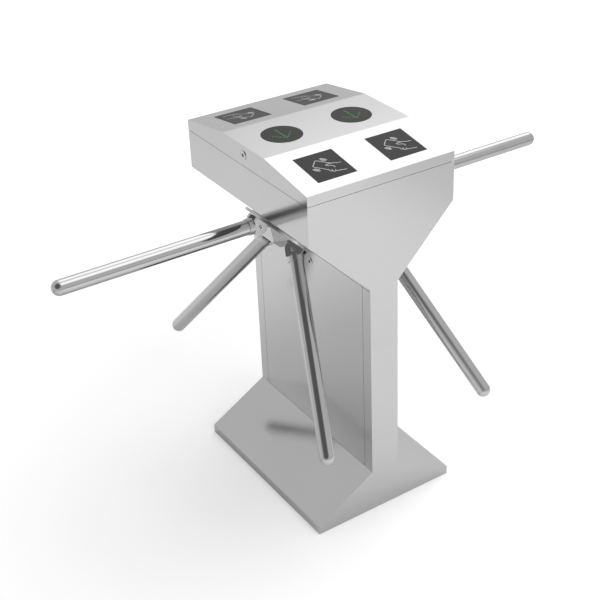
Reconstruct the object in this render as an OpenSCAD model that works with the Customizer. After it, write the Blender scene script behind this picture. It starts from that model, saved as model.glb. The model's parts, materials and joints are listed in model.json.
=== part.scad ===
// Two-lane tripod turnstile: an hourglass cabinet of stainless sheet with a three-armed rotor on each side.
// Origin at the middle of the footprint on the floor, +Z up, lanes along Y, barrier arms along -X and +X.

/* [Cabinet] */
// Length of the cabinet along the lanes
cabinet_l = 548; // [520:2:640]
// Width of the head and of the base
head_w = 420; // [410:2:440]
// Height of the flat top above the floor
total_h = 1000; // [980:5:1060]
// Width of the thin column
column_w = 82; // [78:1:88]
// Drop from the flat top to the lower edge of the head's vertical sides
head_h = 158; // [150:2:164]
// Angle of the slope under the head
underside_slope = 45; // [45:0.5:46]
// Thickness of the cabinet sheet
sheet_t = 2; // [1.5:0.25:2.5]

/* [Base] */
// Height of the vertical lip round the base
base_lip_h = 24; // [20:1:30]
// Angle of the base flare
base_slope = 30; // [26:1:32]
// Thickness of the floor plate
base_plate_t = 5; // [4:1:8]
// Spacing of the anchor holes across the cabinet
anchor_x = 200; // [180:10:220]
// Spacing of the anchor holes along the cabinet
anchor_y = 420; // [380:10:440]
// Radius of the anchor holes
anchor_r = 7; // [5:0.5:8]
// Radius of the cable entry in the floor plate
cable_r = 20; // [15:1:24]

/* [Lid] */
// Height of the lid from its seam to the flat top
lid_h = 54; // [50:1:64]
// Drop from the flat top to the top of the lid's end faces
lid_drop = 28; // [22:1:30]
// Length of the flat middle
lid_flat_l = 190; // [170:5:210]
// Side of a reader window across the lid
reader_w = 108; // [90:1:116]
// Side of a reader window along the slope
reader_l = 110; // [90:1:118]
// Spacing of the window centres across the lid
window_spread = 203; // [190:1:212]
// Radius of a round display window
display_r = 51.5; // [40:0.5:54]

/* [Arms] */
// Outer diameter of an arm tube
arm_d = 38; // [34:1:40]
// Wall of an arm tube
arm_wall = 1.5; // [1:0.25:2.5]
// Distance from the crossing point of the arm lines to the centre of the rounded tip
arm_reach = 608; // [540:4:620]

/* [Hub] */
// Depth of the crossing point of the arm lines inside the cabinet's underside
apex_depth = 42; // [40:0.5:44]
// Distance of the rotor axis from the middle of the underside, towards the column
hub_shift = 10; // [4:1:14]
// Distance of the rotor axis from the cabinet's middle, along the lane
hub_offset_y = 4; // [0:1:10]
// Radius of the hub disc
disc_r = 98; // [96:0.5:102]
// Thickness of the hub disc
disc_t = 7; // [6:0.5:7.5]
// Distance of an arm's pivot bolt from the crossing point of the arm lines
pivot_reach = 94.7; // [94:0.1:96]
// Radius of the rotor shaft
shaft_r = 15; // [12:0.5:16]

/* [Locks] */
// Radius of a lock barrel
lock_r = 8; // [7:0.25:8.5]
// Height of the door lock below the underside
door_lock_drop = 39; // [36:1:44]
// Offset of the door lock along the lane
door_lock_y = -8; // [-20:1:20]

/* [Hidden] */

// Fits and gaps
seam_gap = 1;            // visible gap round lids and doors
fit = 0.05;              // radial gap of a running fit
seat = 0.2;              // gap between parts that are set in each other
overrun = 3;             // how far cuts run past the metal

// Derived cabinet heights and half sizes
half_l = cabinet_l / 2;
half_w = head_w / 2;
half_c = column_w / 2;
seam_z = total_h - lid_h;
head_edge_z = total_h - head_h;
column_top_z = head_edge_z - (half_w - half_c) * tan(underside_slope);
flare_top_z = base_lip_h + (half_w - half_c) * tan(base_slope);
inner_l = cabinet_l - 2 * sheet_t;
lid_end_z = total_h - lid_drop;

// Doors, their rebates and pivots
post_depth = 31;
door_top_gap = 6;
rebate_h = 24;
rebate_gap = 0.5;
door_pin_r = 3;
door_pin_l = 7;
door_pin_rise = 8;
door_pin_in = 5;
door_ear_h = 12;
door_z0 = flare_top_z + seam_gap;
door_z1 = column_top_z - door_top_gap;
door_half_l = half_l - sheet_t - post_depth - seam_gap;
door_pin_z = door_z0 + door_pin_rise;

// Rotor axis frame: local Z points out of the underside, local X runs up the slope
rotor_turn = underside_slope - 180;
slope_dir = [-cos(underside_slope), 0, sin(underside_slope)];
hub_at = [-(half_w + half_c) / 2, hub_offset_y, (head_edge_z + column_top_z) / 2] - hub_shift * slope_dir;
arm_cone = 90 - underside_slope;
arm_count = 3;

// Hub heights above the underside
disc_z = 3;
disc_top = disc_z + disc_t;
block_h = 40;
block_r = 62;
block_reach = 71;
block_flat = 44;
pivot_rho = pivot_reach * sin(arm_cone);
pivot_h = pivot_reach * cos(arm_cone) - apex_depth;

// Fork: cheeks either side of the hub's tongue, then a collar that holds the tube
tongue_half = 12;
cheek_gap = 0.4;
cheek_t = 7.6;
cheek_out = tongue_half + cheek_gap + cheek_t;
fork_front = 15;
fork_bridge_s = 13.5;
fork_back = 17;
fork_low = 26.4;
fork_high = 20;
fork_swing_r = 21;
fork_disc_gap = 1;
fork_toe = 3;
collar_extra = 2.5;
collar_end = 28;
tongue_r = 12.2;
tongue_clear = 13.2;
tongue_base_in = 34;
pin_r = 4;
bolt_head_r = 5.5;
bolt_head_t = 2;
slot_gap = 0.6;
slot_half = 17;
spigot_l = 32;
cap_spigot_l = 16;

// Shaft and what it carries, as depths inside the underside
shaft_end_d = 102;
shaft_nose = 33;
underside_hole_r = 32;
plate_t = 8;
plate_u = 146;
plate_w = 184;
plate_d0 = sheet_t;
plate_d1 = plate_d0 + plate_t;
housing_flange_r = 36;
housing_flange_t = 6;
housing_r = 31;
bearing_r = 26;
bearing_w = 12;
bearing_lip = 3;
housing_d1 = 58;
gear_module = 2;
gear_teeth = 44;
pinion_teeth = 16;
gear_w = 8;
gear_d0 = 63;
gear_backlash = 0.3;
pressure_angle = 20;
dedendum_share = 1.25;
root_share = 1.1;
cam_d0 = 76;
cam_w = 10;
cam_mean_r = 34;
cam_lobe = 6;
gear_centres = gear_module * (gear_teeth + pinion_teeth) / 2;
damper_r = 22;
damper_d1 = 58;
damper_shaft_r = 4;

// Index lever, roller and spring
roller_r = 9;
roller_gap = 0.4;
roller_pin_r = 3;
lever_t = 6;
lever_bar_half = 6;
lever_eye_r = 9;
lever_pivot = [-46, -62];
lever_tail = [48, -64];
post_r = 6;
lever_d0 = cam_d0 + cam_w + seat * 2;
roller_at = [0, -(cam_mean_r + cam_lobe + roller_r + roller_gap)];
spring_r = 5;
spring_wire_r = 0.9;
spring_turns = 9;
spring_l = 44;
spring_sides = 6;
spring_steps = 8;

// Solenoid and pawl on the far side of the cam
solenoid_at = [56, -6];
solenoid_size = [30, 44, 34];
plunger_r = 5;
plunger_l = 16;
pawl_t = 6;
pawl_gap = 0.5;

// Lid details
lid_hinge_r = 4;
lid_pin_r = 1.6;
hinge_leaf_h = 22;
hinge_end = 30;
hinge_parts = 5;
hinge_play = 0.5;
window_t = 2;
window_flange = 5;
window_flange_t = 2;
module_h = 14;
module_inset = 8;
board_t = 1.6;
led_ring_h = 8;
lid_lock_rise = 2.5;
lid_lock_z = lid_end_z + lid_lock_rise;
lid_lock_rim = 3.5;
rim_t = 1.5;
barrel_l = 16;
plug_r = 5;
key_slot_w = 1;
cam_plate_t = 2;
cam_half = 7.5;
lid_cam_reach = 22;
striker_t = 3;
striker_w = 22;
striker_side = 4;
striker_foot = 12;
striker_wrap = 5;
door_barrel_in = 2 * sheet_t + rebate_gap + seat;
door_cam_reach = 30;
door_lock_z = column_top_z - door_lock_drop;

// Electronics
board_panel = [2, 200, 300];
board_size = [1.6, 150, 210];
board_rise = 60;
spacer_l = 6;
spacer_r = 3;
chip_size = [4, 24, 24];
panel_foot = 24;
supply_size = [48, 110, 170];
supply_gap = 21;
board_gap = 40;
supply_y = half_l - sheet_t - post_depth - supply_gap - supply_size[1] / 2;
panel_y = supply_y - supply_size[1] / 2 - board_gap - board_panel[1] / 2;

// Colours
steel = [0.75, 0.76, 0.77];
polished = [0.85, 0.86, 0.88];
dark = [0.12, 0.12, 0.13];
zinc = [0.62, 0.64, 0.66];
brass = [0.78, 0.66, 0.36];
board_green = [0.1, 0.35, 0.2];

$fn = 64;

// Shared helpers

module right_side() { rotate([0, 0, 180]) children(); }

module at_hub() { translate(hub_at) rotate([0, rotor_turn, 0]) children(); }

// A prism along Y from an outline drawn in X and Z
module along_y(y0, y1) {
    translate([0, y1, 0]) rotate([90, 0, 0]) linear_extrude(height = y1 - y0) children();
}

// The arm's own frame: origin at the pivot, X along the arm, Y towards the rotor axis, Z across the fork
module at_pivot(i) {
    rotate([0, 0, i * 360 / arm_count])
        translate([pivot_rho, 0, pivot_h])
            rotate([90, 0, 0]) rotate([0, 0, 90 - arm_cone]) children();
}

module ring(r_out, r_in, h) {
    difference() {
        cylinder(r = r_out, h = h);
        translate([0, 0, -overrun]) cylinder(r = r_in, h = h + 2 * overrun);
    }
}

// Cabinet sheets

module end_sheet() {
    color(steel) along_y(-half_l, -half_l + sheet_t)
        polygon([[-half_w, 0], [half_w, 0], [half_w, base_lip_h], [half_c, flare_top_z],
            [half_c, column_top_z], [half_w, head_edge_z], [half_w, seam_z - seam_gap],
            [-half_w, seam_z - seam_gap], [-half_w, head_edge_z], [-half_c, column_top_z],
            [-half_c, flare_top_z], [-half_w, base_lip_h]]);
}

// How far a bend shifts the inner corner of a sheet
function bend_in(angle) = sheet_t * tan(angle / 2);

// One sheet: head side, slope under the head and the short flange above the door
module head_sheet(hinge_side) {
    head_bend = bend_in(90 - underside_slope);
    top_z = seam_z - seam_gap - (hinge_side ? lid_hinge_r : 0);
    keeper_x = half_c - sheet_t - rebate_gap;
    color(steel) difference() {
        union() {
            along_y(-inner_l / 2, inner_l / 2)
                polygon([[-half_w, top_z], [-half_w, head_edge_z], [-half_c, column_top_z],
                    [-half_c, door_z1 + seam_gap], [-half_c + sheet_t, door_z1 + seam_gap],
                    [-half_c + sheet_t, column_top_z + head_bend],
                    [-half_w + sheet_t, head_edge_z + head_bend], [-half_w + sheet_t, top_z]]);
            translate([-half_c + sheet_t, -door_half_l, door_z1 - rebate_h])
                cube([rebate_gap + sheet_t, 2 * door_half_l, rebate_h + seam_gap + door_top_gap - sheet_t]);
        }
        translate([-half_c - overrun, -door_half_l - overrun, door_z1 - rebate_h - overrun])
            cube([overrun + half_c - keeper_x, 2 * (door_half_l + overrun), rebate_h + seam_gap + overrun]);
        at_hub() translate([0, 0, -2 * plate_t]) cylinder(r = underside_hole_r, h = 3 * plate_t);
    }
}

module base_sheet() {
    lip_bend = bend_in(90 - base_slope);
    color(steel) along_y(-inner_l / 2, inner_l / 2)
        polygon([[-half_w, 0], [-half_w, base_lip_h], [-half_c, flare_top_z],
            [-half_c + sheet_t, flare_top_z], [-half_c + sheet_t, flare_top_z - lip_bend],
            [-half_w + sheet_t, base_lip_h - lip_bend], [-half_w + sheet_t, 0]]);
}

// Box post at each end of the column; the door pins turn in its inner wall
module column_post() {
    color(steel) difference() {
        translate([-half_c, -half_l + sheet_t, base_plate_t])
            cube([column_w, post_depth, column_top_z - door_top_gap - base_plate_t]);
        translate([-half_c + sheet_t, -half_l + 2 * sheet_t, base_plate_t - overrun])
            cube([column_w - 2 * sheet_t, post_depth - 2 * sheet_t, column_top_z + 2 * overrun]);
        for (side = [-1, 1])
            translate([side * (half_c - door_pin_in), -half_l + post_depth - overrun, door_pin_z])
                rotate([-90, 0, 0]) cylinder(r = door_pin_r + fit, h = sheet_t + 3 * overrun);
        for (side = [-1, 1]) mirror([side > 0 ? 1 : 0, 0, 0]) flare_shadow();
    }
}

// The room that the base flare takes beside the column
module flare_shadow() {
    along_y(-half_l - overrun, half_l + overrun)
        polygon([[-half_c - overrun, 0], [-half_c + sheet_t + seat, 0],
            [-half_c + sheet_t + seat, flare_top_z + seat], [-half_c - overrun, flare_top_z + seat]]);
}

module front_panel() { end_sheet(); }
module rear_panel() { right_side() end_sheet(); }

module left_head_sheet() { head_sheet(false); }
module right_head_sheet() { right_side() head_sheet(true); }

// The keeper inside the left sheet hooks over the lid lock's cam once it is turned
module lid_lock_keeper() {
    foot_z = seam_z - seam_gap - striker_foot - sheet_t;
    hook_z = lid_lock_z + cam_half + rebate_gap;
    plate_x = -half_w + barrel_l + cam_plate_t + rebate_gap + seat;
    color(zinc) translate([0, cam_half + striker_side, 0]) {
        translate([-half_w + sheet_t, 0, foot_z])
            cube([plate_x + striker_t + half_w - sheet_t, striker_w, striker_foot]);
        translate([plate_x, 0, foot_z]) cube([striker_t, striker_w, hook_z + striker_t - foot_z]);
        translate([plate_x - striker_wrap, 0, hook_z])
            cube([striker_wrap + striker_t, striker_w, striker_t]);
    }
}

module base_sheets() {
    base_sheet();
    right_side() base_sheet();
}

module column_posts() {
    column_post();
    right_side() column_post();
}

module base_plate() {
    color(zinc) difference() {
        translate([-half_w + sheet_t + seat, -inner_l / 2 + seat, 0])
            cube([head_w - 2 * sheet_t - 2 * seat, inner_l - 2 * seat, base_plate_t]);
        for (x = [-1, 1], y = [-1, 1])
            translate([x * anchor_x / 2, y * anchor_y / 2, -overrun])
                cylinder(r = anchor_r, h = base_plate_t + 2 * overrun);
        translate([0, 0, -overrun]) cylinder(r = cable_r, h = base_plate_t + 2 * overrun);
    }
}

// Doors and their locks

module door() {
    color(steel) {
        difference() {
            translate([-half_c, -door_half_l, door_z0])
                cube([sheet_t, 2 * door_half_l, door_z1 - door_z0]);
            translate([-half_c - overrun, door_lock_y, door_lock_z]) rotate([0, 90, 0])
                cylinder(r = lock_r, h = sheet_t + 2 * overrun);
        }
        for (end = [-1, 1]) scale([1, end, 1]) {
            translate([-half_c + sheet_t, door_half_l - door_ear_h / 2, door_pin_z - door_ear_h / 2])
                cube([door_pin_in + sheet_t, door_ear_h / 2, door_ear_h]);
            translate([-half_c + door_pin_in, door_half_l, door_pin_z]) rotate([-90, 0, 0])
                cylinder(r = door_pin_r, h = door_pin_l);
        }
    }
}

// Bezel and sleeve of a lock, drawn along +X from the face that it is set in
module lock_barrel(rim, depth) {
    color(polished) rotate([0, 90, 0]) {
        translate([0, 0, -rim_t]) ring(lock_r + rim, plug_r + fit, rim_t);
        ring(lock_r - fit, plug_r + fit, depth);
    }
}

// Plug with its key slot and cam, the cam pointing along the given turn
module lock_plug(depth, reach, turn) {
    color(brass) rotate([0, 90, 0]) difference() {
        translate([0, 0, -rim_t]) cylinder(r = plug_r, h = rim_t + depth + cam_plate_t);
        translate([-plug_r / 2, -key_slot_w / 2, -rim_t - overrun])
            cube([plug_r, key_slot_w, overrun + rim_t + sheet_t]);
    }
    color(zinc) translate([depth + seat, 0, 0]) rotate([turn, 0, 0]) difference() {
        translate([0, -cam_half, -cam_half]) cube([cam_plate_t - seat, cam_half * 2, cam_half + reach]);
        translate([-overrun, 0, 0]) rotate([0, 90, 0])
            cylinder(r = plug_r + fit, h = cam_plate_t + 2 * overrun);
    }
}

module door_lock_place() { translate([-half_c, door_lock_y, door_lock_z]) children(); }

module left_door() { door(); }
module left_lock_barrel() { door_lock_place() lock_barrel(sheet_t, door_barrel_in); }
module left_lock_plug() { door_lock_place() lock_plug(door_barrel_in, door_cam_reach, -90); }
module right_door() { right_side() door(); }
module right_lock_barrel() { right_side() left_lock_barrel(); }
module right_lock_plug() { right_side() left_lock_plug(); }

// Lid

// Section of the lid along the lanes: the outer face, or the face that lies inset by the sheet
module lid_outline(inset) {
    low = seam_z - (inset > 0 ? overrun : 0);
    end_z = lid_end_z + inset * tan(lid_slope) - inset / cos(lid_slope);
    flat_y = lid_flat_l / 2 - inset * tan(lid_slope / 2);
    polygon([[-half_l + inset, low], [-half_l + inset, end_z], [-flat_y, total_h - inset],
        [flat_y, total_h - inset], [half_l - inset, end_z], [half_l - inset, low]]);
}

lid_slope = atan((total_h - lid_end_z) / (half_l - lid_flat_l / 2));

// Middle of a sloping end of the lid, local Z out of the sheet
module on_slope(end) {
    rotate([0, 0, end > 0 ? 180 : 0])
        translate([0, -(half_l + lid_flat_l / 2) / 2, (lid_end_z + total_h) / 2])
            rotate([lid_slope, 0, 0]) children();
}

module each_reader() {
    for (end = [-1, 1], side = [-1, 1]) on_slope(end) translate([side * window_spread / 2, 0, 0]) children();
}

module each_display() {
    for (side = [-1, 1]) translate([side * window_spread / 2, 0, total_h]) children();
}

module square_plate(w, l, t) { translate([-w / 2, -l / 2, 0]) cube([w, l, t]); }

module lid() {
    color(steel) difference() {
        rotate([0, 0, 90]) along_y(-half_w, half_w) lid_outline(0);
        rotate([0, 0, 90]) along_y(-half_w + sheet_t, half_w - sheet_t) lid_outline(sheet_t);
        each_reader() translate([0, 0, -sheet_t - overrun])
            square_plate(reader_w, reader_l, sheet_t + 2 * overrun);
        each_display() translate([0, 0, -sheet_t - overrun])
            cylinder(r = display_r, h = sheet_t + 2 * overrun);
        translate([-half_w - overrun, 0, lid_lock_z]) rotate([0, 90, 0])
            cylinder(r = lock_r, h = sheet_t + 2 * overrun);
        translate([half_w - lid_hinge_r, -half_l - overrun, seam_z - overrun])
            cube([lid_hinge_r + overrun, cabinet_l + 2 * overrun, lid_hinge_r + overrun + seat]);
    }
}

module lid_hinge_line() { translate([half_w - lid_hinge_r, 0, seam_z - seam_gap / 2]) children(); }

hinge_l = inner_l - 2 * hinge_end;
knuckle_l = hinge_l / hinge_parts;

// Knuckles of one leaf: even or odd places along the hinge
module knuckles(first) {
    for (i = [first : 2 : hinge_parts - 1])
        translate([0, -hinge_l / 2 + i * knuckle_l + hinge_play / 2, 0])
            rotate([-90, 0, 0]) ring(lid_hinge_r, lid_pin_r + fit, knuckle_l - hinge_play);
}

module leaf_plate(first, up) {
    for (i = [first : 2 : hinge_parts - 1])
        translate([lid_hinge_r - 2 * sheet_t, -hinge_l / 2 + i * knuckle_l + hinge_play / 2,
                up > 0 ? 0 : -hinge_leaf_h])
            difference() {
                cube([sheet_t, knuckle_l - hinge_play, hinge_leaf_h]);
                translate([sheet_t * 2 - lid_hinge_r, -overrun, up > 0 ? 0 : hinge_leaf_h])
                    rotate([-90, 0, 0]) cylinder(r = lid_pin_r + fit, h = knuckle_l + 2 * overrun);
            }
    translate([lid_hinge_r - 2 * sheet_t, -hinge_l / 2 + hinge_play / 2,
            up > 0 ? lid_hinge_r + hinge_play : -hinge_leaf_h])
        cube([sheet_t, hinge_l - hinge_play, hinge_leaf_h - lid_hinge_r - hinge_play]);
}

module lid_hinge_leaf() {
    color(zinc) lid_hinge_line() union() {
        knuckles(0);
        leaf_plate(0, -1);
    }
}

module lid_hinge_strap() {
    color(zinc) lid_hinge_line() {
        union() {
            knuckles(1);
            leaf_plate(1, 1);
        }
        translate([0, -hinge_l / 2, 0]) rotate([-90, 0, 0]) cylinder(r = lid_pin_r, h = hinge_l);
    }
}

module reader_windows() {
    color(dark) each_reader() {
        translate([0, 0, -window_t]) square_plate(reader_w - 2 * seat, reader_l - 2 * seat, window_t);
        translate([0, 0, -sheet_t - window_flange_t])
            square_plate(reader_w + 2 * window_flange, reader_l + 2 * window_flange, window_flange_t);
    }
}

module reader_modules() {
    color(dark) each_reader() translate([0, 0, -sheet_t - window_flange_t - module_h])
        square_plate(reader_w - 2 * module_inset, reader_l - 2 * module_inset, module_h);
}

module display_windows() {
    color(dark) each_display() {
        translate([0, 0, -window_t]) cylinder(r = display_r - seat, h = window_t);
        translate([0, 0, -sheet_t - window_flange_t])
            cylinder(r = display_r + window_flange, h = window_flange_t);
    }
}

module display_boards() {
    color(board_green) each_display() translate([0, 0, -sheet_t - window_flange_t]) {
        translate([0, 0, -led_ring_h]) ring(display_r - sheet_t, display_r - module_inset, led_ring_h);
        translate([0, 0, -led_ring_h - board_t]) cylinder(r = display_r - sheet_t, h = board_t);
    }
}

module lid_lock_place() { translate([-half_w, 0, lid_lock_z]) children(); }
module lid_lock_barrel() { lid_lock_place() lock_barrel(lid_lock_rim, barrel_l); }
module lid_lock_plug() { lid_lock_place() lock_plug(barrel_l, lid_cam_reach, 180); }

// Electronics

module controller_board() {
    color(zinc) translate([-board_panel[0] / 2, panel_y - board_panel[1] / 2, base_plate_t]) {
        cube(board_panel);
        cube([panel_foot, board_panel[1], board_panel[0]]);
    }
    translate([board_panel[0] / 2, panel_y, base_plate_t + board_rise]) {
        color(zinc) for (y = [-1, 1], z = [0, 1])
            translate([0, y * (board_size[1] / 2 - spacer_l), spacer_l + z * (board_size[2] - 2 * spacer_l)])
                rotate([0, 90, 0]) cylinder(r = spacer_r, h = spacer_l);
        color(board_green) translate([spacer_l, -board_size[1] / 2, 0]) union() {
            cube(board_size);
            for (i = [0 : 3])
                translate([board_size[0], (i % 2 + 1) * board_size[1] / 4, (i + 1) * board_size[2] / 6])
                    cube(chip_size);
        }
    }
}

module power_supply() {
    color(zinc) translate([-supply_size[0] / 2, supply_y - supply_size[1] / 2, base_plate_t])
        cube(supply_size);
}

// Fixed mechanism, drawn for the left side with depths measured in from the underside

module at_depth(d) { translate([0, 0, -d]) children(); }
module both_sides() {
    at_hub() children();
    right_side() at_hub() children();
}

module chassis_plates() {
    color(zinc) both_sides() at_depth(plate_d1) difference() {
        square_plate(plate_u, plate_w, plate_t);
        translate([0, 0, -overrun]) cylinder(r = underside_hole_r, h = plate_t + 2 * overrun);
    }
}

module bearing_housings() {
    bore = bearing_r + fit;
    color(zinc) both_sides() difference() {
        union() {
            at_depth(plate_d1 + housing_flange_t) cylinder(r = housing_flange_r, h = housing_flange_t);
            at_depth(housing_d1) cylinder(r = housing_r, h = housing_d1 - plate_d1);
        }
        at_depth(housing_d1 + overrun) cylinder(r = bore - bearing_lip, h = housing_d1 + 2 * overrun);
        at_depth(plate_d1 + bearing_w) cylinder(r = bore, h = bearing_w + overrun);
        at_depth(housing_d1 + overrun) cylinder(r = bore, h = bearing_w + overrun);
    }
}

module shaft_bearings() {
    color(polished) both_sides() for (d = [plate_d1 + bearing_w, housing_d1])
        at_depth(d) ring(bearing_r, shaft_r + fit, bearing_w);
}

module damper_bodies() {
    color(dark) both_sides() translate([0, gear_centres, 0]) at_depth(damper_d1) difference() {
        cylinder(r = damper_r, h = damper_d1 - plate_d1);
        translate([0, 0, -overrun]) cylinder(r = damper_shaft_r + fit, h = damper_d1 - 2 * plate_d1);
    }
}

// Outline of a flat bar from one place to another
module bar(from, to, half) {
    run = to - from;
    translate(from) rotate(atan2(run[1], run[0])) translate([0, -half]) square([norm(run), 2 * half]);
}

module index_levers() {
    lever_end = lever_d0 + lever_t;
    color(zinc) both_sides() {
        at_depth(lever_end) linear_extrude(height = lever_t) difference() {
            union() {
                bar(lever_pivot, roller_at, lever_bar_half);
                bar(roller_at, lever_tail, lever_bar_half);
                for (place = [lever_pivot, roller_at, lever_tail]) translate(place) circle(r = lever_eye_r);
            }
            translate(lever_pivot) circle(r = post_r + fit);
            translate(roller_at) circle(r = roller_pin_r + fit);
        }
        translate([lever_pivot[0], lever_pivot[1], 0]) at_depth(lever_end)
            cylinder(r = post_r, h = lever_end - plate_d1);
        translate([roller_at[0], roller_at[1], 0]) {
            at_depth(lever_end) cylinder(r = roller_pin_r, h = lever_end - cam_d0);
            at_depth(cam_d0 + cam_w) ring(roller_r, roller_pin_r + fit, cam_w);
        }
    }
}

// Helix of the index spring as one swept tube
function coil_point(t) = [spring_r * cos(360 * t * spring_turns), spring_r * sin(360 * t * spring_turns),
    spring_l * t];
function coil_ring(t) =
    let (c = coil_point(t), turn = 360 * t * spring_turns,
        out = [cos(turn), sin(turn), 0], climb = spring_l / (spring_turns * 2 * PI * spring_r),
        along = [-sin(turn), cos(turn), climb] / norm([1, climb]), up = cross(out, along))
    [for (k = [0 : spring_sides - 1])
        c + spring_wire_r * (cos(360 * k / spring_sides) * out + sin(360 * k / spring_sides) * up)];

module coil_spring() {
    rings = spring_turns * spring_steps;
    points = [for (i = [0 : rings]) each coil_ring(i / rings)];
    walls = [for (i = [0 : rings - 1], k = [0 : spring_sides - 1])
        let (a = i * spring_sides + k, b = i * spring_sides + (k + 1) % spring_sides)
        each [[a, b, a + spring_sides], [b, b + spring_sides, a + spring_sides]]];
    first = [for (k = [spring_sides - 1 : -1 : 0]) k];
    last = [for (k = [0 : spring_sides - 1]) rings * spring_sides + k];
    polyhedron(points = points, faces = concat(walls, [first, last]));
}

// The spring stands on the chassis plate and presses on the lever's tail
module index_springs() {
    guide_l = lever_d0 - plate_d1;
    rest_l = guide_l - spring_l - 2 * spring_wire_r - 3 * seat;
    color(zinc) both_sides() translate([lever_tail[0], lever_tail[1], 0]) {
        at_depth(lever_d0 - seat) translate([0, 0, spring_wire_r]) coil_spring();
        at_depth(plate_d1 + rest_l) cylinder(r = spring_r + spring_wire_r, h = rest_l);
    }
}

module lock_solenoids() {
    base_h = cam_d0 - solenoid_size[2] - plunger_l - plate_d1;
    tip = cam_mean_r + cam_lobe + pawl_gap;
    color(dark) both_sides() translate([solenoid_at[0], solenoid_at[1], 0]) union() {
        at_depth(plate_d1 + base_h + solenoid_size[2])
            square_plate(solenoid_size[0], solenoid_size[1], base_h + solenoid_size[2]);
        at_depth(cam_d0 + cam_w) cylinder(r = plunger_r, h = cam_w + plunger_l);
        at_depth(cam_d0 + cam_w) translate([tip - solenoid_at[0], -plunger_r, 0])
            cube([solenoid_at[0] - tip, 2 * plunger_r, pawl_t]);
    }
}

// Rotor

module disc_slots() {
    for (i = [0 : arm_count - 1], side = [-1, 1])
        rotate([0, 0, i * 360 / arm_count])
            translate([pivot_rho - slot_half, side * (cheek_out + tongue_half + cheek_gap) / 2, 0])
                translate([0, -cheek_t / 2 - slot_gap, disc_z - overrun])
                    cube([2 * slot_half, cheek_t + 2 * slot_gap, disc_t + 2 * overrun]);
}

module hub_disc() {
    color(steel) difference() {
        translate([0, 0, disc_z]) cylinder(r = disc_r, h = disc_t, $fn = 128);
        translate([0, 0, disc_z - overrun]) cylinder(r = shaft_r + fit, h = disc_t + 2 * overrun);
        disc_slots();
    }
}

// Half space on the axis side of the plane that stands square to an arm at the block's reach
module arm_face(i) {
    beyond = 2 * disc_r;
    rotate([0, 0, i * 360 / arm_count]) translate([0, 0, -apex_depth]) rotate([0, arm_cone, 0])
        translate([-beyond, -beyond, block_reach]) cube(2 * beyond);
}

// Space beyond the block's flat side between two arms
module block_side(i) {
    rotate([0, 0, (2 * i + 1) * 180 / arm_count]) translate([block_flat, -block_r, disc_top - overrun])
        cube([block_r, 2 * block_r, block_h - disc_top + 2 * overrun]);
}

// Tongue between the cheeks of a fork: a foot on the disc with a round eye at the pivot
module tongue(i) {
    rise = pivot_h - disc_top;
    low = sqrt(2) * tongue_clear;
    rotate([0, 0, i * 360 / arm_count]) translate([0, tongue_half, 0]) rotate([90, 0, 0])
        linear_extrude(height = 2 * tongue_half) union() {
            translate([pivot_rho, pivot_h]) circle(r = tongue_r);
            polygon([[tongue_base_in, disc_top], [pivot_rho + tongue_r, disc_top],
                [pivot_rho + tongue_r, pivot_h], [pivot_rho, pivot_h],
                [pivot_rho - tongue_r * sin(45), pivot_h + tongue_r * cos(45)],
                [tongue_base_in, tongue_base_in + low + pivot_h - pivot_rho - 2 * cheek_gap]]);
        }
}

module hub_head() {
    color(steel) difference() {
        union() {
            difference() {
                translate([0, 0, disc_top]) cylinder(r = block_r, h = block_h - disc_top);
                for (i = [0 : arm_count - 1]) {
                    arm_face(i);
                    block_side(i);
                }
            }
            for (i = [0 : arm_count - 1]) tongue(i);
        }
        translate([0, 0, disc_top - overrun])
            cylinder(r = shaft_r + fit, h = shaft_nose - disc_top + overrun);
        for (i = [0 : arm_count - 1]) at_pivot(i)
            translate([0, 0, -tongue_half - overrun]) cylinder(r = pin_r, h = 2 * tongue_half + 2 * overrun);
    }
}

module pivot_bolts() {
    color(polished) for (i = [0 : arm_count - 1]) at_pivot(i) {
        translate([0, 0, -cheek_out - seat]) cylinder(r = pin_r, h = 2 * cheek_out + 2 * seat);
        translate([0, 0, cheek_out + seat]) cylinder(r = bolt_head_r, h = bolt_head_t);
        translate([0, 0, -cheek_out - seat - bolt_head_t]) cylinder(r = bolt_head_r, h = bolt_head_t);
    }
}

module shaft() {
    color(polished) at_depth(shaft_end_d) cylinder(r = shaft_r, h = shaft_end_d + shaft_nose);
}

module index_cam() {
    steps = 72;
    color(zinc) at_depth(cam_d0 + cam_w) difference() {
        linear_extrude(height = cam_w)
            polygon([for (k = [0 : steps - 1]) let (a = k * 360 / steps)
                (cam_mean_r - cam_lobe * cos(arm_count * (a + 90))) * [cos(a), sin(a)]]);
        translate([0, 0, -overrun]) cylinder(r = shaft_r + fit, h = cam_w + 2 * overrun);
    }
}

// Involute gears

function involute(base_r, roll) = base_r * [cos(roll) + roll * PI / 180 * sin(roll),
    sin(roll) - roll * PI / 180 * cos(roll)];
function roll_at(base_r, r) = r > base_r ? sqrt(pow(r / base_r, 2) - 1) * 180 / PI : 0;
function turned(p, a) = [p[0] * cos(a) - p[1] * sin(a), p[0] * sin(a) + p[1] * cos(a)];
function half_tooth(teeth) = 90 / teeth + tan(pressure_angle) * 180 / PI - pressure_angle
    - gear_backlash / (gear_module * teeth) * 90 / PI;
function flank(teeth) =
    let (pitch = gear_module * teeth / 2, base_r = pitch * cos(pressure_angle),
        first = roll_at(base_r, pitch - gear_module), last = roll_at(base_r, pitch + gear_module))
    [for (k = [0 : 4]) turned(involute(base_r, first + (last - first) * k / 4), -half_tooth(teeth))];

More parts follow.
